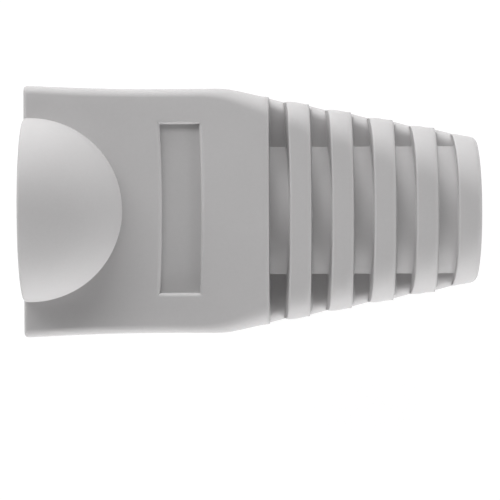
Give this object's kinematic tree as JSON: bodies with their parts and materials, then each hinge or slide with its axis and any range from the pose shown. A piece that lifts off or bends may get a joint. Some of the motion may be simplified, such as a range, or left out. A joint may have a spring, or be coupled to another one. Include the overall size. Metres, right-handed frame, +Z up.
{
  "type": "strain relief boot",
  "caption": "Soft one-piece boot that slips over the back of a modular network plug, with a hood that guards the latch and a ribbed tail that eases the cable's bend.",
  "frame": {"origin": "middle of the box that holds the boot, at the level of its flat underside", "axes": "+X from the plug's mouth to the cable's tail, +Y across the boot, +Z up through the latch hood"},
  "size_m": [0.0256, 0.014, 0.0132],
  "materials": {
    "soft_plastic": "soft matte PVC, light grey, as moulded"
  },
  "bodies": {
    "root": {"boot": "soft_plastic"}
  },
  "joints": []
}
